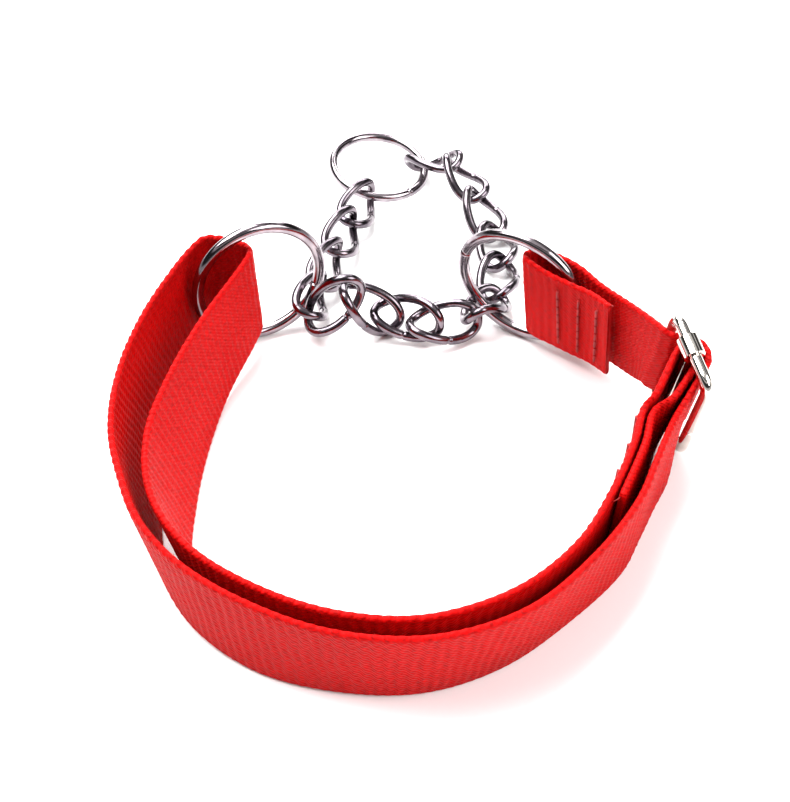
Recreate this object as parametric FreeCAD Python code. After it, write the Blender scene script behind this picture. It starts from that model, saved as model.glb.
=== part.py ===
import FreeCAD, Part
import math
import os

V = FreeCAD.Vector

# ---------------------------------------------------------------------------
# Sizes in mm
# ---------------------------------------------------------------------------
WEB_WIDTH = 24.5        # nylon webbing, the common one inch size
WEB_THICK = 1.7
SPANS_PER_STATION = 4   # points of each edge curve between two stations

SIDE_RING_RADIUS = 15.2     # to the middle of the wire
SIDE_RING_WIRE = 2.8
LEASH_RING_RADIUS = 13.0
LEASH_RING_WIRE = 2.5

LINK_WIRE = 2.3
LINK_HALF_LENGTH = 8.4      # middle of a link to the middle of the wire at its end
LINK_HALF_WIDTH = 4.6
LINK_TWIST = 42.0           # degrees that each end is turned against the middle
LINK_ROUNDNESS = 0.8

SLIDE_CENTRE = (60.5, 172.8, 17.8)
SLIDE_HEADING = 15.0        # degrees from +Y towards -X
SLIDE_CLIMB = 17.0          # the far bar is higher than the near bar
SLIDE_LEAN = 6.0            # the top leans towards the middle of the collar
SLIDE_WIDTH = 29.4          # between the middles of the two short sides
SLIDE_LENGTH = 17.6         # between the middles of the two long bars
SLIDE_WIRE = 2.6
SLIDE_CORNER = 3.0
BAR_WIRE = 2.4
BAR_AT = 1.0                # centre bar, from the middle of the frame towards the far bar
SLEEVE_LENGTH = 4.4
SLEEVE_WALL = 0.8
SLEEVE_PLAY = 0.12
SEWN_GAP = 0.35             # between the tail and the layer that it is sewn to
LAYER_GAP = 0.25            # between two layers of webbing wound round the centre bar
SWING_GAP = 0.6             # between the webbing and the long bars, room for the slide to rock

STITCH_LENGTH = 2.2
STITCH_RADIUS = 0.3
STITCH_GAP = 0.05
STITCH_PITCH = 2.6

ORIGIN = (3.5, 196.3, -0.05)   # middle of the footprint in the layout


# ---------------------------------------------------------------------------
# Small helpers
# ---------------------------------------------------------------------------
def turn(axis, degrees, v):
    a = math.radians(degrees)
    c, s = math.cos(a), math.sin(a)
    x, y, z = v
    if axis == "x":
        return (x, c * y - s * z, s * y + c * z)
    if axis == "y":
        return (c * x + s * z, y, -s * x + c * z)
    return (c * x - s * y, s * x + c * y, z)


def add(p, *steps):
    """p plus each (distance, direction)."""
    x, y, z = p
    for k, d in steps:
        x, y, z = x + k * d[0], y + k * d[1], z + k * d[2]
    return (x, y, z)


def place(p):
    """A layout point in the object's frame."""
    return V(p[0] - ORIGIN[0], p[1] - ORIGIN[1], p[2] - ORIGIN[2])


def save(name, shape):
    shape.exportStep("parts/" + name + ".step")


# ---------------------------------------------------------------------------
# Slide frame directions: out of the collar, along the webbing, across it
# ---------------------------------------------------------------------------
def slide_direction(v):
    return turn("z", SLIDE_HEADING, turn("x", SLIDE_CLIMB, turn("y", -SLIDE_LEAN, v)))


OUT = slide_direction((1, 0, 0))
ALONG = slide_direction((0, 1, 0))
ACROSS = slide_direction((0, 0, 1))


def slide_point(along, out, across):
    return add(SLIDE_CENTRE, (along, ALONG), (out, OUT), (across, ACROSS))


# ---------------------------------------------------------------------------
# Webbing: one strap. Each station is the strap's lower and upper edge point.
# ---------------------------------------------------------------------------
def station(x, y, tip_x, tip_y, lift=0.0):
    """x, y: middle of the strap. tip: how far its upper edge is moved over its lower edge."""
    rise = math.sqrt(WEB_WIDTH ** 2 - tip_x ** 2 - tip_y ** 2)
    low = (x - tip_x / 2, y - tip_y / 2, lift)
    high = (x + tip_x / 2, y + tip_y / 2, lift + rise)
    return low, high


def at_slide(along, out):
    return slide_point(along, out, -WEB_WIDTH / 2), slide_point(along, out, WEB_WIDTH / 2)


def round_bar(bar, radius, start, end, count):
    """Stations on an arc round one bar of the slide, in degrees from the near-to-far direction."""
    found = []
    for i in range(count):
        a = math.radians(start + (end - start) * i / (count - 1))
        found.append(at_slide(bar + radius * math.cos(a), radius * math.sin(a)))
    return found


LOOP_RADIUS = BAR_WIRE / 2 + LAYER_GAP + WEB_THICK / 2
OVER_RADIUS = LOOP_RADIUS + WEB_THICK + LAYER_GAP
UNDER_RADIUS = SLIDE_WIRE / 2 + SWING_GAP + WEB_THICK / 2
NEAR_BAR = -SLIDE_LENGTH / 2
FAR_BAR = SLIDE_LENGTH / 2

# inner layer from the slide round the front to the left ring
INNER_LAYER = [
    (50.5, 159.5, -1, 0, 0.5),
    (47.5, 152, 0, 0.5, 0),
    (40.5, 138, 1, 0.5, 0),
    (32, 126.5, 2.5, -1, 0),
    (20, 117, 2.5, -2.5, 0),
    (5, 111.5, 0.5, -3, 0),
    (-10, 112, -1, -2, 0),
    (-25, 117.5, -1.5, -1, 0),
    (-37, 126.5, -2.5, -1, 0),
    (-44, 139, -5, -1, 0),
    (-46, 154, -7, 0, 0),
    (-44.5, 170, -5.5, 0, 0),
    (-40.5, 186.5, -3, 0, 1),
    (-34.5, 201, -1, -1, 3.5),
]
# open fold that holds the left ring
LEFT_FOLD = [
    (-33, 206, -0.5, -1, 4),
    (-33.5, 208.5, -0.5, -1, 4),
    (-36, 210.5, -1, -1, 4),
    (-40, 212, -1, -1, 4),
    (-43.5, 212, -1.5, -1, 4),
    (-46, 209, -2.5, -1, 3),
    (-48.5, 203.5, -3.5, -1, 2),
]
# outer layer back round to the slide
OUTER_LAYER = [
    (-52.5, 190, -6, -1, 0.5),
    (-54.5, 172, -7.5, -1, 0),
    (-53.5, 156, -7, -1, 0),
    (-50.5, 143, -4.5, -1, 0),
    (-46, 132, -3, -1, 0),
    (-38, 122, -1.5, -1, 0),
    (-25.5, 113.5, -1, -1, 0),
    (-10, 108.5, -1, -3, 0),
    (6, 108, 1, -4, 0),
    (21.5, 113.5, 3, -3.5, 0),
    (35, 124.5, 3, -1.5, 0),
    (45.5, 136.5, 1, 0, 0),
    (50, 145, 0.5, 0.5, 0),
    (54, 153, 0, 0.5, 0),
    (57.5, 159.5, -2, -3, 0.5),
]
# from the slide to the right ring, round it and back along its inner side
RIGHT_PART = [
    (53.5, 186.5, -3, -4, 5.5),
    (47, 198, -3, -3.5, 3),
    (43, 203.5, -3, -3.5, 3.5),
    (38, 207, -3, -3, 4),
    (34.5, 208.5, -3, -2.5, 4),
    (32, 207.5, -3, -2, 4),
    (31, 205.5, -3, -2, 4),
    (32.5, 203, -3, -2, 4),
    (36, 200.5, -3, -3, 3.5),
    (40.5, 197.5, -3, -3, 3),
    (44.5, 194.5, -2.5, -3.5, 3),
    (48, 189, -3, -3.5, 4),
]


def sewn_tail():
    """The strap's first end, lying against the outer side of the inner layer, from its cut end."""
    step = WEB_THICK + SEWN_GAP
    tail = []
    for (x, y, tip_x, tip_y, lift), (next_x, next_y, *rest) in zip(INNER_LAYER[:3], INNER_LAYER[1:4]):
        length = math.hypot(x - next_x, y - next_y)
        out_x, out_y = (y - next_y) / length, (next_x - x) / length
        tail.insert(0, station(x + out_x * step, y + out_y * step, tip_x, tip_y, lift))
    return tail


def strap_stations():
    path = sewn_tail()
    path += [at_slide(-7.1, -5.9)]
    path += round_bar(BAR_AT, LOOP_RADIUS, 136, -52, 9)
    path += [at_slide(-5.4, -9.0)]
    path += [station(*s) for s in INNER_LAYER]
    path += [station(*s) for s in LEFT_FOLD]
    path += [station(*s) for s in OUTER_LAYER]
    path += [at_slide(-6.9, -2.0)]
    path += round_bar(BAR_AT, OVER_RADIUS, 136, 26, 6)
    path += round_bar(FAR_BAR, UNDER_RADIUS, 210, 260, 3)
    path += [station(*s) for s in RIGHT_PART]
    return path


def smooth(path, per):
    """A smooth row of (low, high) edge points through the stations."""
    flat = [low + high for low, high in path]
    middle = [tuple((p[i] + p[i + 3]) / 2 for i in range(3)) for p in flat]
    knots = [0.0]
    for a, b in zip(middle, middle[1:]):
        knots.append(knots[-1] + math.sqrt(math.dist(a, b)))
    last = len(flat) - 1

    def slope(i):
        if i == 0 or i == last:
            a, b = (0, 1) if i == 0 else (last - 1, last)
            return [(q - p) / (knots[b] - knots[a]) for p, q in zip(flat[a], flat[b])]
        before, after = knots[i] - knots[i - 1], knots[i + 1] - knots[i]
        return [((q - p) / before * after + (r - q) / after * before) / (before + after)
                for p, q, r in zip(flat[i - 1], flat[i], flat[i + 1])]

    row = []
    for i in range(last):
        h = knots[i + 1] - knots[i]
        m0, m1 = slope(i), slope(i + 1)
        for j in range(per):
            u = j / per
            w = (2 * u ** 3 - 3 * u * u + 1, h * (u ** 3 - 2 * u * u + u), 3 * u * u - 2 * u ** 3, h * (u ** 3 - u * u))
            row.append([w[0] * a + w[1] * b + w[2] * c + w[3] * d
                        for a, b, c, d in zip(flat[i], m0, flat[i + 1], m1)])
    row.append(list(flat[last]))
    return row


def strap_section():
    """Poles round the strap's section as (across, out of the face): flat faces and round selvedges."""
    half = WEB_THICK / 2
    edge = WEB_WIDTH / 2
    return [(-edge * 0.6, half), (edge * 0.6, half), (edge - 0.6, half), (edge + 0.3, 0.0), (edge - 0.6, -half),
            (edge * 0.6, -half), (-edge * 0.6, -half), (0.6 - edge, -half), (-edge - 0.3, 0.0), (0.6 - edge, half)]


def strap_frames(row):
    """Middle, across direction and face direction of the strap at each point of the row."""
    frames = []
    for i, p in enumerate(row):
        a, b = row[max(i - 1, 0)], row[min(i + 1, len(row) - 1)]
        forward = V(*[b[k] + b[k + 3] - a[k] - a[k + 3] for k in range(3)])
        low, high = V(*p[:3]), V(*p[3:])
        across = high - low
        across.normalize()
        face = forward.cross(across)
        face.normalize()
        frames.append(((low + high) / 2, across, face))
    return frames


def build_strap():
    poles = []
    for middle, across, face in strap_frames(smooth(strap_stations(), SPANS_PER_STATION)):
        poles.append([place(middle + across * w + face * t) for w, t in strap_section()])
    count, around = len(poles), len(poles[0])
    surface = Part.BSplineSurface()
    surface.buildFromPolesMultsKnots(poles, [4] + [1] * (count - 4) + [4], [1] * (around + 1),
                                     list(range(count - 2)), list(range(around + 1)), False, True, 3, 3)
    faces = [surface.toShape()]
    for end in surface.bounds()[:2]:
        faces.append(Part.Face(Part.Wire(surface.uIso(end).toShape())))
    skin = Part.Compound(faces)
    skin.sewShape()
    solid = Part.makeSolid(skin.Shells[0])
    if solid.Volume < 0:
        solid.reverse()
    return solid


# ---------------------------------------------------------------------------
# Stitches: short thread bars lying on the inner face where two layers are sewn together
# ---------------------------------------------------------------------------
def strap_distances(frames):
    distances = [0.0]
    for a, b in zip(frames, frames[1:]):
        distances.append(distances[-1] + (b[0] - a[0]).Length)
    return distances


def build_stitches(first, last, rows):
    """Rows of stitches across the strap, between two distances from its cut end at the slide."""
    frames = strap_frames(smooth(strap_stations(), SPANS_PER_STATION))
    distances = strap_distances(frames)
    if first < 0:
        first, last = distances[-1] + first, distances[-1] + last
    stitches = []
    for row in range(rows):
        target = first + (last - first) * row / (rows - 1)
        at = min(range(len(frames)), key=lambda i: abs(distances[i] - target))
        middle, across, face = frames[at]
        count = int((WEB_WIDTH - 6) / STITCH_PITCH)
        for i in range(count):
            w = (i - (count - 1) / 2) * STITCH_PITCH - STITCH_LENGTH / 2
            foot = place(middle + across * w + face * (WEB_THICK / 2 + STITCH_RADIUS + STITCH_GAP))
            stitches.append(Part.makeCylinder(STITCH_RADIUS, STITCH_LENGTH, foot, across))
    return Part.makeCompound(stitches)


# ---------------------------------------------------------------------------
# Rings
# ---------------------------------------------------------------------------
# centre x, y, z, then the heading and the tilt of the ring's axis in degrees
LEFT_RING = (-32.0, 209.0, 16.8, 115.0, 0.0)
RIGHT_RING = (29.5, 207.5, 16.7, 58.0, 8.0)
LEASH_RING = (-4.5, 273.5, 6.5, -40.0, 80.0)


def unit(heading, tilt):
    h, t = math.radians(heading), math.radians(tilt)
    return (math.cos(t) * math.cos(h), math.cos(t) * math.sin(h), math.sin(t))


def build_ring(pose, radius, wire):
    axis = V(*unit(pose[3], pose[4]))
    return Part.makeTorus(radius, wire / 2, place(pose[:3]), axis)


# ---------------------------------------------------------------------------
# Chain
# ---------------------------------------------------------------------------
# middle x, y, z, then heading, slope and roll in degrees: each link hangs loose in the next one
CHAIN = [
    (11, 275, 7, -30, 20, -20),
    (19, 265.5, 8, -60, -10, -20),
    (24, 253, 5, -70, -15, -10),
    (27, 240.5, 3.5, -85, 0, 0),
    (26.5, 227, 3.5, -100, 0, 0),
    (22.5, 214.5, 5, -120, 15, 10),
    (12, 208, 5, -170, 0, -30),
    (3, 209.5, 5.5, 160, 0, -40),
    (-6, 210, 8, 180, 40, -35),
    (-15, 209, 10, -165, -45, -55),
    (-20, 216, 6.5, 80, -10, -120),
    (-17, 229.5, 5.5, 75, 0, -120),
    (-13.5, 242.5, 6, 75, 0, -130),
    (-9.5, 256, 5.5, 70, 0, -130),
]


def link_frame(heading, slope, roll):
    h, r = math.radians(heading), math.radians(roll)
    ahead = unit(heading, slope)
    level = (-math.sin(h), math.cos(h), 0.0)
    up = (ahead[1] * level[2] - ahead[2] * level[1],
          ahead[2] * level[0] - ahead[0] * level[2],
          ahead[0] * level[1] - ahead[1] * level[0])
    side = add((0, 0, 0), (math.cos(r), level), (math.sin(r), up))
    top = add((0, 0, 0), (-math.sin(r), level), (math.cos(r), up))
    return ahead, side, top


def chain_poses():
    """Middle and frame of each link."""
    return [(row[:3],) + link_frame(*row[3:]) for row in CHAIN]


def link_point(pose, angle):
    """A point on the middle line of a twisted oval link."""
    c, s = math.cos(angle), math.sin(angle)
    x = LINK_HALF_LENGTH * math.copysign(abs(c) ** LINK_ROUNDNESS, c)
    y = LINK_HALF_WIDTH * math.copysign(abs(s) ** LINK_ROUNDNESS, s)
    twist = math.radians(LINK_TWIST) * x / LINK_HALF_LENGTH
    middle, ahead, side, top = pose
    return add(middle, (x, ahead), (y * math.cos(twist), side), (y * math.sin(twist), top))


ROUND_POLES = 8


def closed_tube(points, wire):
    """A round wire along a closed curve, as one surface that closes both ways."""
    count = len(points)
    pull = 1.5 / (1 + 0.5 * math.cos(2 * math.pi / ROUND_POLES)) * wire / 2
    poles = []
    for i, p in enumerate(points):
        forward = points[(i + 1) % count] - points[i - 1]
        u = forward.cross(V(0, 0, 1))
        u.normalize()
        v = forward.cross(u)
        v.normalize()
        angles = [2 * math.pi * j / ROUND_POLES for j in range(ROUND_POLES)]
        poles.append([p + u * (pull * math.cos(a)) + v * (pull * math.sin(a)) for a in angles])
    surface = Part.BSplineSurface()
    surface.buildFromPolesMultsKnots(poles, [1] * (count + 1), [1] * (ROUND_POLES + 1),
                                     list(range(count + 1)), list(range(ROUND_POLES + 1)), True, True, 3, 3)
    solid = Part.Solid(Part.Shell([surface.toShape()]))
    if solid.Volume < 0:
        solid.reverse()
    return solid


LINK_POINTS = 24


def build_link(pose):
    angles = [2 * math.pi * (i + 0.5) / LINK_POINTS for i in range(LINK_POINTS)]
    return closed_tube([place(link_point(pose, a)) for a in angles], LINK_WIRE)


# ---------------------------------------------------------------------------
# Slide
# ---------------------------------------------------------------------------
def frame_wire():
    """Middle line of the slide's frame: a rectangle with round corners."""
    a, w, r = SLIDE_LENGTH / 2, SLIDE_WIDTH / 2, SLIDE_CORNER
    k = r * (1 - math.sqrt(0.5))
    spots = [(-a, -w + r), (-a, w - r), (-a + k, w - k), (-a + r, w), (a - r, w), (a - k, w - k), (a, w - r),
             (a, -w + r), (a - k, -w + k), (a - r, -w), (-a + r, -w), (-a + k, -w + k)]
    p = [place(slide_point(s, 0, t)) for s, t in spots]
    edges = [Part.makeLine(p[0], p[1]), Part.Arc(p[1], p[2], p[3]).toShape(),
             Part.makeLine(p[3], p[4]), Part.Arc(p[4], p[5], p[6]).toShape(),
             Part.makeLine(p[6], p[7]), Part.Arc(p[7], p[8], p[9]).toShape(),
             Part.makeLine(p[9], p[10]), Part.Arc(p[10], p[11], p[0]).toShape()]
    return Part.Wire(edges), p[0], p[1] - p[0]


def build_slide_frame():
    path, start, forward = frame_wire()
    circle = Part.Wire(Part.Circle(start, forward, SLIDE_WIRE / 2).toShape())
    return path.makePipeShell([circle], True, False)


def build_centre_bar():
    """The bar, with its two ends rolled round the short sides of the frame."""
    w = SLIDE_WIDTH / 2
    low, high = slide_point(BAR_AT, 0, -w), slide_point(BAR_AT, 0, w)
    bar = Part.makeCylinder(BAR_WIRE / 2, SLIDE_WIDTH, place(low), V(*ACROSS))
    bore = SLIDE_WIRE / 2 + SLEEVE_PLAY
    for end in (low, high):
        foot = place(add(end, (-SLEEVE_LENGTH / 2, ALONG)))
        bar = bar.fuse(Part.makeCylinder(bore + SLEEVE_WALL, SLEEVE_LENGTH, foot, V(*ALONG)))
    for end in (low, high):
        foot = place(add(end, (-SLEEVE_LENGTH, ALONG)))
        bar = bar.cut(Part.makeCylinder(bore, 2 * SLEEVE_LENGTH, foot, V(*ALONG)))
    solids = sorted(bar.Solids, key=lambda s: -s.Volume)
    return solids[0]


# ---------------------------------------------------------------------------
# Build
# ---------------------------------------------------------------------------
def main():
    os.makedirs("parts", exist_ok=True)
    save("webbing_strap", build_strap())
    save("slide_stitching", build_stitches(68.0, 84.0, 3))
    save("ring_stitching", build_stitches(-14.0, -4.0, 3))
    save("ring_left", build_ring(LEFT_RING, SIDE_RING_RADIUS, SIDE_RING_WIRE))
    save("ring_right", build_ring(RIGHT_RING, SIDE_RING_RADIUS, SIDE_RING_WIRE))
    save("leash_ring", build_ring(LEASH_RING, LEASH_RING_RADIUS, LEASH_RING_WIRE))
    save("slide_frame", build_slide_frame())
    save("slide_centre_bar", build_centre_bar())
    for number, pose in enumerate(chain_poses(), 1):
        save("chain_link_%02d" % number, build_link(pose))


main()
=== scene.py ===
import bpy
import math
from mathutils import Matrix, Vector
from mathutils import noise


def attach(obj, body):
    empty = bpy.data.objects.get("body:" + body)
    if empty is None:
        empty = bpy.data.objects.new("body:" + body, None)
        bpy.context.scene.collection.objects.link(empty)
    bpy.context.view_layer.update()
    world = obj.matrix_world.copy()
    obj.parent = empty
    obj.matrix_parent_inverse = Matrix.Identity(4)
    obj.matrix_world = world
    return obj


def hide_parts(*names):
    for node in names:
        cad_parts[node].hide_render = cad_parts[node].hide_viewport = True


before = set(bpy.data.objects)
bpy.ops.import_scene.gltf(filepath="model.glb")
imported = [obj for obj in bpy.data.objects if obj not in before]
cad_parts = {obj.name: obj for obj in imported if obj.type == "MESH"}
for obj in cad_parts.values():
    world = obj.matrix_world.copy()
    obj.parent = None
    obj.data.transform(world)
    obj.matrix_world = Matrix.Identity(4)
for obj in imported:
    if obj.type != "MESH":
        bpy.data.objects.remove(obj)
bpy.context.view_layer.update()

# Sizes in mm, in the same layout as the CAD model
WEB_WIDTH = 24.5        # nylon webbing, the common one inch size
WEB_THICK = 1.7
SIDE_RING_RADIUS = 15.2     # to the middle of the wire
SIDE_RING_WIRE = 2.8
LEASH_RING_RADIUS = 13.0
LEASH_RING_WIRE = 2.5
LINK_WIRE = 2.3
LINK_HALF_LENGTH = 8.4      # middle of a link to the middle of the wire at its end
LINK_HALF_WIDTH = 4.6
LINK_TWIST = 42.0           # degrees that each end is turned against the middle
LINK_ROUNDNESS = 0.8
SLIDE_CENTRE = (60.5, 172.8, 17.8)
SLIDE_HEADING = 15.0        # degrees from +Y towards -X
SLIDE_CLIMB = 17.0          # the far bar is higher than the near bar
SLIDE_LEAN = 6.0            # the top leans towards the middle of the collar
SLIDE_WIDTH = 29.4          # between the middles of the two short sides
SLIDE_LENGTH = 17.6         # between the middles of the two long bars
SLIDE_WIRE = 2.6
SLIDE_CORNER = 3.0
BAR_WIRE = 2.4
BAR_AT = 1.0                # centre bar, from the middle of the frame towards the far bar
SEWN_GAP = 0.35             # between the tail and the layer that it is sewn to
LAYER_GAP = 0.25            # between two layers of webbing wound round the centre bar
SWING_GAP = 0.6             # between the webbing and the long bars, room for the slide to rock
ORIGIN = (3.5, 196.3, -0.05)   # middle of the footprint in the layout
LEFT_RING = (-32.0, 209.0, 16.8, 115.0, 0.0)
RIGHT_RING = (29.5, 207.5, 16.7, 58.0, 8.0)
LEASH_RING = (-4.5, 273.5, 6.5, -40.0, 80.0)


def turn(axis, degrees, v):
    a = math.radians(degrees)
    c, s = math.cos(a), math.sin(a)
    x, y, z = v
    if axis == "x":
        return (x, c * y - s * z, s * y + c * z)
    if axis == "y":
        return (c * x + s * z, y, -s * x + c * z)
    return (c * x - s * y, s * x + c * y, z)


def add(p, *steps):
    """p plus each (distance, direction)."""
    x, y, z = p
    for k, d in steps:
        x, y, z = x + k * d[0], y + k * d[1], z + k * d[2]
    return (x, y, z)


def place(p):
    """A layout point in mm as a point of the frame in metres."""
    return Vector((p[0] - ORIGIN[0], p[1] - ORIGIN[1], p[2] - ORIGIN[2])) * 0.001


def slide_direction(v):
    return turn("z", SLIDE_HEADING, turn("x", SLIDE_CLIMB, turn("y", -SLIDE_LEAN, v)))


OUT = slide_direction((1, 0, 0))
ALONG = slide_direction((0, 1, 0))
ACROSS = slide_direction((0, 0, 1))


def slide_point(along, out, across):
    return add(SLIDE_CENTRE, (along, ALONG), (out, OUT), (across, ACROSS))


def station(x, y, tip_x, tip_y, lift=0.0):
    """x, y: middle of the strap. tip: how far its upper edge is moved over its lower edge."""
    rise = math.sqrt(WEB_WIDTH ** 2 - tip_x ** 2 - tip_y ** 2)
    low = (x - tip_x / 2, y - tip_y / 2, lift)
    high = (x + tip_x / 2, y + tip_y / 2, lift + rise)
    return low, high


def at_slide(along, out):
    return slide_point(along, out, -WEB_WIDTH / 2), slide_point(along, out, WEB_WIDTH / 2)


def round_bar(bar, radius, start, end, count):
    """Stations on an arc round one bar of the slide, in degrees from the near-to-far direction."""
    found = []
    for i in range(count):
        a = math.radians(start + (end - start) * i / (count - 1))
        found.append(at_slide(bar + radius * math.cos(a), radius * math.sin(a)))
    return found


LOOP_RADIUS = BAR_WIRE / 2 + LAYER_GAP + WEB_THICK / 2
OVER_RADIUS = LOOP_RADIUS + WEB_THICK + LAYER_GAP
UNDER_RADIUS = SLIDE_WIRE / 2 + SWING_GAP + WEB_THICK / 2
FAR_BAR = SLIDE_LENGTH / 2


# inner layer from the slide round the front to the left ring
INNER_LAYER = [
    (50.5, 159.5, -1, 0, 0.5),
    (47.5, 152, 0, 0.5, 0),
    (40.5, 138, 1, 0.5, 0),
    (32, 126.5, 2.5, -1, 0),
    (20, 117, 2.5, -2.5, 0),
    (5, 111.5, 0.5, -3, 0),
    (-10, 112, -1, -2, 0),
    (-25, 117.5, -1.5, -1, 0),
    (-37, 126.5, -2.5, -1, 0),
    (-44, 139, -5, -1, 0),
    (-46, 154, -7, 0, 0),
    (-44.5, 170, -5.5, 0, 0),
    (-40.5, 186.5, -3, 0, 1),
    (-34.5, 201, -1, -1, 3.5),
]
# open fold that holds the left ring
LEFT_FOLD = [
    (-33, 206, -0.5, -1, 4),
    (-33.5, 208.5, -0.5, -1, 4),
    (-36, 210.5, -1, -1, 4),
    (-40, 212, -1, -1, 4),
    (-43.5, 212, -1.5, -1, 4),
    (-46, 209, -2.5, -1, 3),
    (-48.5, 203.5, -3.5, -1, 2),
]
# outer layer back round to the slide
OUTER_LAYER = [
    (-52.5, 190, -6, -1, 0.5),
    (-54.5, 172, -7.5, -1, 0),
    (-53.5, 156, -7, -1, 0),
    (-50.5, 143, -4.5, -1, 0),
    (-46, 132, -3, -1, 0),
    (-38, 122, -1.5, -1, 0),
    (-25.5, 113.5, -1, -1, 0),
    (-10, 108.5, -1, -3, 0),
    (6, 108, 1, -4, 0),
    (21.5, 113.5, 3, -3.5, 0),
    (35, 124.5, 3, -1.5, 0),
    (45.5, 136.5, 1, 0, 0),
    (50, 145, 0.5, 0.5, 0),
    (54, 153, 0, 0.5, 0),
    (57.5, 159.5, -2, -3, 0.5),
]
# from the slide to the right ring, round it and back along its inner side
RIGHT_PART = [
    (53.5, 186.5, -3, -4, 5.5),
    (47, 198, -3, -3.5, 3),
    (43, 203.5, -3, -3.5, 3.5),
    (38, 207, -3, -3, 4),
    (34.5, 208.5, -3, -2.5, 4),
    (32, 207.5, -3, -2, 4),
    (31, 205.5, -3, -2, 4),
    (32.5, 203, -3, -2, 4),
    (36, 200.5, -3, -3, 3.5),
    (40.5, 197.5, -3, -3, 3),
    (44.5, 194.5, -2.5, -3.5, 3),
    (48, 189, -3, -3.5, 4),
]


def sewn_tail():
    """The strap's first end, lying against the outer side of the inner layer, from its cut end."""
    step = WEB_THICK + SEWN_GAP
    tail = []
    for (x, y, tip_x, tip_y, lift), (next_x, next_y, *rest) in zip(INNER_LAYER[:3], INNER_LAYER[1:4]):
        length = math.hypot(x - next_x, y - next_y)
        out_x, out_y = (y - next_y) / length, (next_x - x) / length
        tail.insert(0, station(x + out_x * step, y + out_y * step, tip_x, tip_y, lift))
    return tail


def strap_stations():
    path = sewn_tail()
    path += [at_slide(-7.1, -5.9)]
    path += round_bar(BAR_AT, LOOP_RADIUS, 136, -52, 9)
    path += [at_slide(-5.4, -9.0)]
    path += [station(*s) for s in INNER_LAYER]
    path += [station(*s) for s in LEFT_FOLD]
    path += [station(*s) for s in OUTER_LAYER]
    path += [at_slide(-6.9, -2.0)]
    path += round_bar(BAR_AT, OVER_RADIUS, 136, 26, 6)
    path += round_bar(FAR_BAR, UNDER_RADIUS, 210, 260, 3)
    path += [station(*s) for s in RIGHT_PART]
    return path


def smooth(path, per):
    """A smooth row of (low, high) edge points through the stations."""
    flat = [low + high for low, high in path]
    middle = [tuple((p[i] + p[i + 3]) / 2 for i in range(3)) for p in flat]
    knots = [0.0]
    for a, b in zip(middle, middle[1:]):
        knots.append(knots[-1] + math.sqrt(math.dist(a, b)))
    last = len(flat) - 1

    def slope(i):
        if i == 0 or i == last:
            a, b = (0, 1) if i == 0 else (last - 1, last)
            return [(q - p) / (knots[b] - knots[a]) for p, q in zip(flat[a], flat[b])]
        before, after = knots[i] - knots[i - 1], knots[i + 1] - knots[i]
        return [((q - p) / before * after + (r - q) / after * before) / (before + after)
                for p, q, r in zip(flat[i - 1], flat[i], flat[i + 1])]

    row = []
    for i in range(last):
        h = knots[i + 1] - knots[i]
        m0, m1 = slope(i), slope(i + 1)
        for j in range(per):
            u = j / per
            w = (2 * u ** 3 - 3 * u * u + 1, h * (u ** 3 - 2 * u * u + u),
                 3 * u * u - 2 * u ** 3, h * (u ** 3 - u * u))
            row.append([w[0] * a + w[1] * b + w[2] * c + w[3] * d
                        for a, b, c, d in zip(flat[i], m0, flat[i + 1], m1)])
    row.append(list(flat[last]))
    return row


def unit(heading, tilt):
    h, t = math.radians(heading), math.radians(tilt)
    return (math.cos(t) * math.cos(h), math.cos(t) * math.sin(h), math.sin(t))


# middle x, y, z, then heading, slope and roll in degrees: each link hangs loose in the next one
CHAIN = [
    (11, 275, 7, -30, 20, -20),
    (19, 265.5, 8, -60, -10, -20),
    (24, 253, 5, -70, -15, -10),
    (27, 240.5, 3.5, -85, 0, 0),
    (26.5, 227, 3.5, -100, 0, 0),
    (22.5, 214.5, 5, -120, 15, 10),
    (12, 208, 5, -170, 0, -30),
    (3, 209.5, 5.5, 160, 0, -40),
    (-6, 210, 8, 180, 40, -35),
    (-15, 209, 10, -165, -45, -55),
    (-20, 216, 6.5, 80, -10, -120),
    (-17, 229.5, 5.5, 75, 0, -120),
    (-13.5, 242.5, 6, 75, 0, -130),
    (-9.5, 256, 5.5, 70, 0, -130),
]


def link_frame(heading, slope, roll):
    h, r = math.radians(heading), math.radians(roll)
    ahead = unit(heading, slope)
    level = (-math.sin(h), math.cos(h), 0.0)
    up = (ahead[1] * level[2] - ahead[2] * level[1],
          ahead[2] * level[0] - ahead[0] * level[2],
          ahead[0] * level[1] - ahead[1] * level[0])
    side = add((0, 0, 0), (math.cos(r), level), (math.sin(r), up))
    top = add((0, 0, 0), (-math.sin(r), level), (math.cos(r), up))
    return ahead, side, top


def unit_vector(v):
    return Vector(v).normalized()


# ---------------------------------------------------------------------------
# Mesh helpers
# ---------------------------------------------------------------------------
def new_mesh(name, points, quads, uvs=None):
    mesh = bpy.data.meshes.new(name)
    mesh.from_pydata(points, [], quads)
    mesh.update()
    for polygon in mesh.polygons:
        polygon.use_smooth = True
    if uvs:
        layer = mesh.uv_layers.new(name="UVMap")
        for loop in mesh.loops:
            layer.data[loop.index].uv = uvs[loop.vertex_index]
    obj = bpy.data.objects.new(name, mesh)
    bpy.context.scene.collection.objects.link(obj)
    return obj


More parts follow.
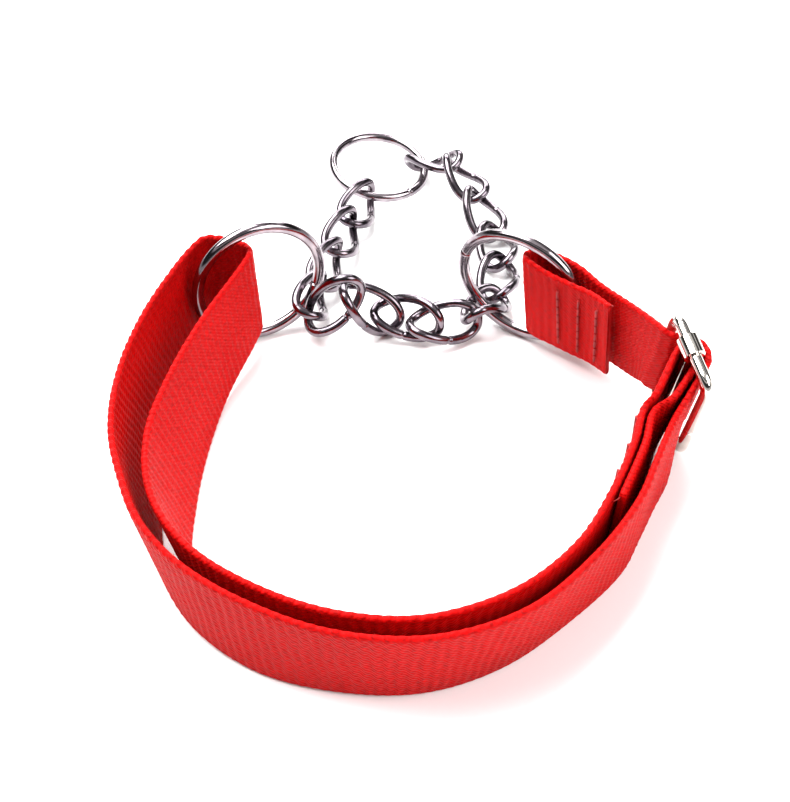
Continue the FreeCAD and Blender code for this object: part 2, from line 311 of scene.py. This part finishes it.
def sweep(name, path, radii, around, closed=True):
    """A round wire along a row of points in metres, with its own radius at each point."""
    count = len(path)
    points, quads, uvs = [], [], []
    side = None
    frames = []
    for i, p in enumerate(path):
        before = path[i - 1] if closed or i > 0 else p
        after = path[(i + 1) % count] if closed or i < count - 1 else p
        forward = (after - before).normalized()
        if side is None:
            side = forward.cross(Vector((0.13, 0.21, 0.97))).normalized()
        side = (side - forward * side.dot(forward)).normalized()
        frames.append((p, side.copy(), forward.cross(side)))
    # spread the turn left over after one round evenly along a closed path
    slip = 0.0
    if closed:
        p, u, w = frames[0]
        last = frames[-1]
        carried = (last[1] - (u.cross(w)) * last[1].dot(u.cross(w))).normalized()
        slip = math.atan2(carried.dot(w), carried.dot(u))
    for i, (p, u, w) in enumerate(frames):
        for j in range(around):
            a = 2 * math.pi * j / around - slip * i / count
            points.append(p + (u * math.cos(a) + w * math.sin(a)) * radii[i])
            uvs.append((i / count, j / around))
    for i in range(count if closed else count - 1):
        n = (i + 1) % count
        for j in range(around):
            k = (j + 1) % around
            quads.append((i * around + j, i * around + k, n * around + k, n * around + j))
    if not closed:
        quads.append(tuple(reversed(range(around))))
        quads.append(tuple((count - 1) * around + j for j in range(around)))
    return new_mesh(name, points, quads, uvs)


def seam_radius(offset, radius, half_gap, depth):
    """Wire radius near a butt seam: a narrow groove between two softly rounded ends."""
    near = abs(offset) / half_gap
    if near > 4:
        return radius
    return radius * (1 - depth * math.exp(-near * near))


# ---------------------------------------------------------------------------
# Materials
# ---------------------------------------------------------------------------
def base_material(name, colour, roughness, metallic=0.0):
    material = bpy.data.materials.new(name)
    material.use_nodes = True
    nodes = material.node_tree.nodes
    shader = nodes["Principled BSDF"]
    shader.inputs["Base Color"].default_value = colour + (1.0,)
    shader.inputs["Roughness"].default_value = roughness
    shader.inputs["Metallic"].default_value = metallic
    return material, nodes, material.node_tree.links, shader


def noise_node(nodes, links, scale, detail, vector=None):
    texture = nodes.new("ShaderNodeTexNoise")
    texture.inputs["Scale"].default_value = scale
    texture.inputs["Detail"].default_value = detail
    if vector:
        links.new(vector, texture.inputs["Vector"])
    return texture


def ramp_node(nodes, links, factor, stops):
    ramp = nodes.new("ShaderNodeValToRGB")
    links.new(factor, ramp.inputs["Fac"])
    elements = ramp.color_ramp.elements
    elements[0].position, elements[0].color = stops[0][0], stops[0][1] + (1.0,)
    elements[1].position, elements[1].color = stops[-1][0], stops[-1][1] + (1.0,)
    for position, colour in stops[1:-1]:
        elements.new(position).color = colour + (1.0,)
    return ramp


def webbing_material():
    """Red nylon: thread to thread colour change, fine twill relief and a faint sheen."""
    material, nodes, links, shader = base_material("webbing_red", (0.6, 0.0, 0.0), 0.7)
    shader.inputs["Sheen Weight"].default_value = 0.04
    shader.inputs["Sheen Roughness"].default_value = 0.4
    shader.inputs["Sheen Tint"].default_value = (1.0, 0.25, 0.22, 1.0)
    shader.inputs["Specular IOR Level"].default_value = 0.1
    uv = nodes.new("ShaderNodeUVMap")
    uv.uv_map = "UVMap"
    stretch = nodes.new("ShaderNodeMapping")
    stretch.inputs["Scale"].default_value = (0.55, 2.2, 1.0)
    links.new(uv.outputs["UV"], stretch.inputs["Vector"])
    threads = noise_node(nodes, links, 1.6, 3.0, stretch.outputs["Vector"])
    tone = ramp_node(nodes, links, threads.outputs["Fac"], [
        (0.30, (0.26, 0.0, 0.0)), (0.5, (0.47, 0.0, 0.0)), (0.72, (0.62, 0.001, 0.001))])
    broad = noise_node(nodes, links, 38.0, 2.0)
    coords = nodes.new("ShaderNodeTexCoord")
    links.new(coords.outputs["Object"], broad.inputs["Vector"])
    shade = nodes.new("ShaderNodeMixRGB")
    shade.blend_type = "MULTIPLY"
    shade.inputs["Fac"].default_value = 0.35
    soft = ramp_node(nodes, links, broad.outputs["Fac"], [(0.35, (0.72, 0.7, 0.7)), (0.65, (1.0, 1.0, 1.0))])
    links.new(tone.outputs["Color"], shade.inputs["Color1"])
    links.new(soft.outputs["Color"], shade.inputs["Color2"])
    links.new(shade.outputs["Color"], shader.inputs["Base Color"])
    rough = nodes.new("ShaderNodeMapRange")
    rough.inputs["To Min"].default_value = 0.5
    rough.inputs["To Max"].default_value = 0.75
    links.new(threads.outputs["Fac"], rough.inputs["Value"])
    links.new(rough.outputs["Result"], shader.inputs["Roughness"])
    twill = nodes.new("ShaderNodeTexWave")
    twill.wave_type = "BANDS"
    twill.bands_direction = "DIAGONAL"
    twill.inputs["Scale"].default_value = 0.62
    twill.inputs["Distortion"].default_value = 1.2
    links.new(uv.outputs["UV"], twill.inputs["Vector"])
    bump = nodes.new("ShaderNodeBump")
    bump.inputs["Strength"].default_value = 0.6
    bump.inputs["Distance"].default_value = 0.00012
    links.new(twill.outputs["Fac"], bump.inputs["Height"])
    links.new(bump.outputs["Normal"], shader.inputs["Normal"])
    return material


def metal_material(name, colour, dark, roughness):
    """Polished nickel with faint cloudy tarnish and tiny surface waves."""
    material, nodes, links, shader = base_material(name, colour, roughness, 1.0)
    coords = nodes.new("ShaderNodeTexCoord")
    cloud = noise_node(nodes, links, 260.0, 3.0, coords.outputs["Object"])
    tone = ramp_node(nodes, links, cloud.outputs["Fac"], [(0.32, dark), (0.62, colour)])
    links.new(tone.outputs["Color"], shader.inputs["Base Color"])
    rough = nodes.new("ShaderNodeMapRange")
    rough.inputs["To Min"].default_value = roughness * 0.7
    rough.inputs["To Max"].default_value = roughness * 1.6
    links.new(cloud.outputs["Fac"], rough.inputs["Value"])
    links.new(rough.outputs["Result"], shader.inputs["Roughness"])
    waves = noise_node(nodes, links, 420.0, 1.0, coords.outputs["Object"])
    bump = nodes.new("ShaderNodeBump")
    bump.inputs["Strength"].default_value = 0.08
    bump.inputs["Distance"].default_value = 0.0002
    links.new(waves.outputs["Fac"], bump.inputs["Height"])
    links.new(bump.outputs["Normal"], shader.inputs["Normal"])
    return material


def thread_material():
    material, nodes, links, shader = base_material("thread_red", (0.5, 0.0, 0.0), 0.6)
    coords = nodes.new("ShaderNodeTexCoord")
    spots = noise_node(nodes, links, 900.0, 2.0, coords.outputs["Object"])
    tone = ramp_node(nodes, links, spots.outputs["Fac"], [(0.3, (0.2, 0.0, 0.0)), (0.7, (0.38, 0.0, 0.0))])
    links.new(tone.outputs["Color"], shader.inputs["Base Color"])
    return material


# ---------------------------------------------------------------------------
# Webbing
# ---------------------------------------------------------------------------
RIB_PITCH = 2.1             # mm from one woven rib to the next along the strap
RIB_HEIGHT = 0.2
SCALLOP = 0.22              # how far a rib's end stands out of the selvedge
WALE_COUNT = 22             # columns of floats across one face
STEP_ALONG = 0.28
ACROSS_STEPS = 66
EDGE_STEPS = 6


def strap_rows():
    """Points along the strap every STEP_ALONG mm: middle, across and face directions, distance."""
    row = smooth(strap_stations(), 12)
    middles = [Vector([(p[k] + p[k + 3]) / 2 for k in range(3)]) for p in row]
    acrosses = [unit_vector([p[k + 3] - p[k] for k in range(3)]) for p in row]
    distances = [0.0]
    for a, b in zip(middles, middles[1:]):
        distances.append(distances[-1] + (b - a).length)
    count = int(distances[-1] / STEP_ALONG)
    found, seg = [], 0
    for i in range(count + 1):
        d = distances[-1] * i / count
        while seg < len(distances) - 2 and distances[seg + 1] < d:
            seg += 1
        t = (d - distances[seg]) / (distances[seg + 1] - distances[seg])
        across = acrosses[seg].lerp(acrosses[seg + 1], t).normalized()
        found.append((middles[seg].lerp(middles[seg + 1], t), across, d))
    rows = []
    for i, (middle, across, d) in enumerate(found):
        forward = found[min(i + 1, count)][0] - found[max(i - 1, 0)][0]
        face = forward.cross(across).normalized()
        rows.append((middle, across, face, d))
    return rows


def weave_height(d, w, side):
    """Relief of the woven face in mm: ribs across the strap, broken by columns of floats."""
    wobble = 0.25 * noise.noise(Vector((d * 0.12, w * 0.2, side * 9.0)))
    phase = 2 * math.pi * (d / RIB_PITCH + wobble)
    column = (w / WEB_WIDTH + 0.5) * WALE_COUNT
    offset = math.pi * 0.5 * math.sin(math.pi * column)
    rib = math.cos(phase + offset * 0.2)
    wale = abs(math.sin(math.pi * column)) ** 0.6
    grain = noise.noise(Vector((d * 2.3, w * 2.9, side * 5.0)))
    return RIB_HEIGHT * (0.6 * rib + 0.12 * (wale - 0.6) + 0.4 * grain)


def strap_outline():
    """Round the strap's section once: (across from -1 to 1, out of the face from -1 to 1)."""
    outline = []
    for i in range(ACROSS_STEPS):
        outline.append((1 - 2 * i / ACROSS_STEPS, 1.0, 1))
    for i in range(EDGE_STEPS):
        a = math.pi * i / EDGE_STEPS
        outline.append((-1.0 - 0.001 * math.sin(a), math.cos(a), 0))
    for i in range(ACROSS_STEPS):
        outline.append((-1 + 2 * i / ACROSS_STEPS, -1.0, -1))
    for i in range(EDGE_STEPS):
        a = math.pi * i / EDGE_STEPS
        outline.append((1.0 + 0.001 * math.sin(a), -math.cos(a), 0))
    return outline


def make_webbing(material):
    rows = strap_rows()
    outline = strap_outline()
    half_thick = WEB_THICK / 2 - 0.16
    half_wide = WEB_WIDTH / 2 - half_thick - SCALLOP
    points, uvs = [], []
    total = rows[-1][3]
    for middle, across, face, d in rows:
        rib = math.cos(2 * math.pi * d / RIB_PITCH)
        bulge = SCALLOP * (0.5 + 0.5 * rib) + 0.08 * noise.noise(Vector((d * 0.5, 3.0, 1.0)))
        fray = max(0.0, 1.0 - min(d, total - d) / 0.6)
        for a, n, side in outline:
            w = a * half_wide
            if side:
                t = n * (half_thick + weave_height(d, w, side)) * (1 - 0.25 * fray)
            else:
                sign = 1.0 if a > 0 else -1.0
                reach = half_thick * (1 + 0.1 * rib) + bulge
                w = sign * (half_wide + reach * math.sqrt(max(0.0, 1 - n * n)))
                t = n * half_thick * (1 - 0.25 * fray)
            points.append(place(middle + across * w + face * t))
            uvs.append((d, w + (WEB_WIDTH * 2 if side < 0 else 0)))
    around = len(outline)
    quads = []
    for i in range(len(rows) - 1):
        for j in range(around):
            k = (j + 1) % around
            quads.append((i * around + j, (i + 1) * around + j, (i + 1) * around + k, i * around + k))
    # close the two cut ends with strips between the faces
    for start in (0, (len(rows) - 1) * around):
        for i in range(around // 2 - 1):
            quads.append((start + i, start + i + 1, start + around - 2 - i, start + around - 1 - i))
    strap = new_mesh("webbing_woven", points, quads, uvs)
    strap.data.materials.append(material)
    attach(strap, "webbing")
    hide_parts("webbing_strap")
    return rows


def make_threads(rows, material):
    """Stitches on the inner faces and two loose thread ends."""
    for name in ("slide_stitching", "ring_stitching"):
        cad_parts[name].data.materials.clear()
        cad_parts[name].data.materials.append(material)
    near_end = [r for r in rows if r[3] > rows[-1][3] - 1.2][0]
    for name, row, reach, lift in (("thread_end_tail", rows[3], (-2.0, -1.5, -0.6), 11.0),
                                   ("thread_end_ring", near_end, (1.2, -2.2, 1.4), 11.4)):
        start = row[0] + row[1] * lift
        path = []
        for i in range(13):
            t = i / 12
            bend = Vector((0.3 * math.sin(5 * t), 0.2 * math.sin(7 * t), 0.5 * math.sin(3 * t)))
            path.append(place(start + Vector(reach) * t + bend * t))
        thread = sweep(name, path, [0.00012] * 13, 6, closed=False)
        thread.data.materials.append(material)
        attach(thread, "webbing")


# ---------------------------------------------------------------------------
# Rings, chain and slide
# ---------------------------------------------------------------------------
LINK_STEPS = 160            # points along a link's wire
LINK_SMOOTHINGS = 3
RING_STEPS = 400
SLIDE_STEPS = 420


def make_ring(name, pose, radius, wire, seam_at, material):
    axis = unit_vector(unit(pose[3], pose[4]))
    first = axis.cross(Vector((0, 0, 1))).normalized()
    second = axis.cross(first)
    path, radii = [], []
    for i in range(RING_STEPS):
        a = 2 * math.pi * i / RING_STEPS
        path.append(place(Vector(pose[:3]) + (first * math.cos(a) + second * math.sin(a)) * radius))
        offset = (a - math.radians(seam_at) + math.pi) % (2 * math.pi) - math.pi
        radii.append(0.001 * seam_radius(offset * radius, wire / 2, 0.22, 0.45))
    ring = sweep(name + "_wire", path, radii, 32)
    ring.data.materials.append(material)
    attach(ring, name)
    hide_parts(name)


def link_point(pose, angle):
    """A point on the middle line of a twisted oval link."""
    c, s = math.cos(angle), math.sin(angle)
    x = LINK_HALF_LENGTH * math.copysign(abs(c) ** LINK_ROUNDNESS, c)
    y = LINK_HALF_WIDTH * math.copysign(abs(s) ** LINK_ROUNDNESS, s)
    twist = math.radians(LINK_TWIST) * x / LINK_HALF_LENGTH
    middle, ahead, side, top = pose
    return add(middle, (x, ahead), (y * math.cos(twist), side), (y * math.sin(twist), top))


def resample(points, count):
    """The closed row of points, evenly spaced."""
    lengths = [0.0]
    for i, p in enumerate(points):
        lengths.append(lengths[-1] + (points[(i + 1) % len(points)] - p).length)
    even, seg = [], 0
    for i in range(count):
        d = lengths[-1] * i / count
        while lengths[seg + 1] < d:
            seg += 1
        t = (d - lengths[seg]) / (lengths[seg + 1] - lengths[seg])
        even.append(points[seg].lerp(points[(seg + 1) % len(points)], t))
    return even


def make_link(number, row, material):
    name = "chain_link_%02d" % number
    pose = (row[:3],) + link_frame(*row[3:])
    raw = [place(link_point(pose, 2 * math.pi * (i + 0.5) / 240)) for i in range(240)]
    path = resample(raw, LINK_STEPS)
    for _ in range(LINK_SMOOTHINGS):
        path = [(path[i - 1] + path[i] * 2 + path[(i + 1) % len(path)]) / 4 for i in range(len(path))]
    radii = []
    step = (path[1] - path[0]).length * 1000
    for i in range(len(path)):
        offset = (i - LINK_STEPS // 4 + LINK_STEPS // 2) % LINK_STEPS - LINK_STEPS // 2
        radii.append(0.001 * seam_radius(offset * step, LINK_WIRE / 2, 0.3, 0.22))
    link = sweep(name + "_wire", path, radii, 24)
    link.data.materials.append(material)
    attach(link, name)
    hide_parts(name)


def make_slide(material):
    a, w, r = SLIDE_LENGTH / 2, SLIDE_WIDTH / 2, SLIDE_CORNER
    corners = [(-a + r, w - r, 180), (a - r, w - r, 90), (a - r, -w + r, 0), (-a + r, -w + r, -90)]
    outline = []
    for s, t, start in corners:
        for i in range(13):
            angle = math.radians(start - 90 * i / 12)
            outline.append((s + r * math.cos(angle), t + r * math.sin(angle)))
    path = resample([place(slide_point(s, 0, t)) for s, t in outline], SLIDE_STEPS)
    half = SLIDE_STEPS // 2
    seam = min(range(len(path)), key=lambda i: (path[i] - place(slide_point(-a, 0, -3.5))).length)
    step = (path[1] - path[0]).length * 1000
    radii = [0.001 * seam_radius(((i - seam + half) % SLIDE_STEPS - half) * step, SLIDE_WIRE / 2, 0.2, 0.4)
             for i in range(SLIDE_STEPS)]
    wire = sweep("slide_frame_wire", path, radii, 32)
    wire.data.materials.append(material)
    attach(wire, "slide")
    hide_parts("slide_frame")
    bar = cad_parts["slide_centre_bar"]
    bar.data.materials.clear()
    bar.data.materials.append(material)
    bevel = bar.modifiers.new("Bevel", "BEVEL")
    bevel.width = 0.00025
    bevel.segments = 3
    bevel.limit_method = "ANGLE"


# ---------------------------------------------------------------------------
# Stage
# ---------------------------------------------------------------------------
def make_floor():
    size = 6.0
    corners = [(-size, -size, 0), (size, -size, 0), (size, size, 0), (-size, size, 0)]
    floor = new_mesh("floor", corners, [(0, 1, 2, 3)])
    material, nodes, links, shader = base_material("floor_white", (0.93, 0.93, 0.93), 0.55)
    shader.inputs["Specular IOR Level"].default_value = 0.25
    coords = nodes.new("ShaderNodeTexCoord")
    cloud = noise_node(nodes, links, 3.0, 2.0, coords.outputs["Object"])
    tone = ramp_node(nodes, links, cloud.outputs["Fac"], [
        (0.3, (0.92, 0.92, 0.92)), (0.7, (0.945, 0.94, 0.94))])
    links.new(tone.outputs["Color"], shader.inputs["Base Color"])
    floor.data.materials.append(material)


def area_light(name, place_at, target, size_x, size_y, power, colour=(1, 1, 1)):
    data = bpy.data.lights.new(name, "AREA")
    data.shape = "RECTANGLE"
    data.size, data.size_y = size_x, size_y
    data.energy = power
    data.color = colour
    lamp = bpy.data.objects.new(name, data)
    bpy.context.scene.collection.objects.link(lamp)
    lamp.location = place_at
    lamp.rotation_euler = (Vector(target) - Vector(place_at)).to_track_quat("-Z", "Y").to_euler()


# how far up the sky, from horizon to overhead, and how bright
WORLD_BANDS = ((0.16, 0.85), (0.24, 0.02), (0.58, 0.03), (0.62, 0.9), (0.7, 0.9),
               (0.74, 0.04), (0.86, 0.05), (0.9, 1.0))


def make_world():
    """Pale at the horizon and overhead with dark bands between, so that polished wire shows both."""
    world = bpy.data.worlds.new("studio")
    bpy.context.scene.world = world
    world.use_nodes = True
    nodes, links = world.node_tree.nodes, world.node_tree.links
    background = nodes["Background"]
    coords = nodes.new("ShaderNodeTexCoord")
    split = nodes.new("ShaderNodeSeparateXYZ")
    links.new(coords.outputs["Generated"], split.inputs["Vector"])
    ramp = nodes.new("ShaderNodeValToRGB")
    links.new(split.outputs["Z"], ramp.inputs["Fac"])
    elements = ramp.color_ramp.elements
    elements[0].position, elements[0].color = 0.0, (0.85, 0.85, 0.85, 1)
    elements[1].position, elements[1].color = 1.0, (1.0, 1.0, 1.0, 1)
    for position, grey in WORLD_BANDS:
        elements.new(position).color = (grey, grey * 0.98, grey, 1)
    links.new(ramp.outputs["Color"], background.inputs["Color"])
    background.inputs["Strength"].default_value = 0.8


CAMERA_HEIGHT = 0.186
CAMERA_PITCH = 45.0
CAMERA_LENS = 50.7


def make_camera():
    data = bpy.data.cameras.new("camera")
    data.lens = CAMERA_LENS
    data.sensor_width = 36.0
    data.clip_start = 0.01
    camera = bpy.data.objects.new("camera", data)
    bpy.context.scene.collection.objects.link(camera)
    camera.location = (-ORIGIN[0] * 0.001, -ORIGIN[1] * 0.001, CAMERA_HEIGHT)
    camera.rotation_euler = (math.radians(90 - CAMERA_PITCH), 0, 0)
    bpy.context.scene.camera = camera


def main():
    rows = make_webbing(webbing_material())
    make_threads(rows, thread_material())
    ring_metal = metal_material("ring_nickel", (0.34, 0.3, 0.32), (0.2, 0.17, 0.19), 0.12)
    make_ring("ring_left", LEFT_RING, SIDE_RING_RADIUS, SIDE_RING_WIRE, 20, ring_metal)
    make_ring("ring_right", RIGHT_RING, SIDE_RING_RADIUS, SIDE_RING_WIRE, 200, ring_metal)
    make_ring("leash_ring", LEASH_RING, LEASH_RING_RADIUS, LEASH_RING_WIRE, 80, ring_metal)
    chain_metal = metal_material("chain_nickel", (0.2, 0.17, 0.19), (0.1, 0.085, 0.1), 0.15)
    for number, row in enumerate(CHAIN, 1):
        make_link(number, row, chain_metal)
    make_slide(metal_material("slide_chrome", (0.78, 0.74, 0.69), (0.62, 0.58, 0.53), 0.1))
    make_floor()
    make_world()
    area_light("key", (-0.35, 0.25, 0.9), (0, 0, 0), 0.9, 0.7, 27.0)
    area_light("fill", (0.6, -0.3, 0.6), (0, 0, 0), 0.6, 0.6, 8.0, (1.0, 0.98, 0.97))
    area_light("back", (0.0, 0.9, 0.5), (0, 0, 0.02), 0.8, 0.4, 9.0)
    make_camera()
    bpy.context.scene.view_settings.view_transform = "Standard"


main()
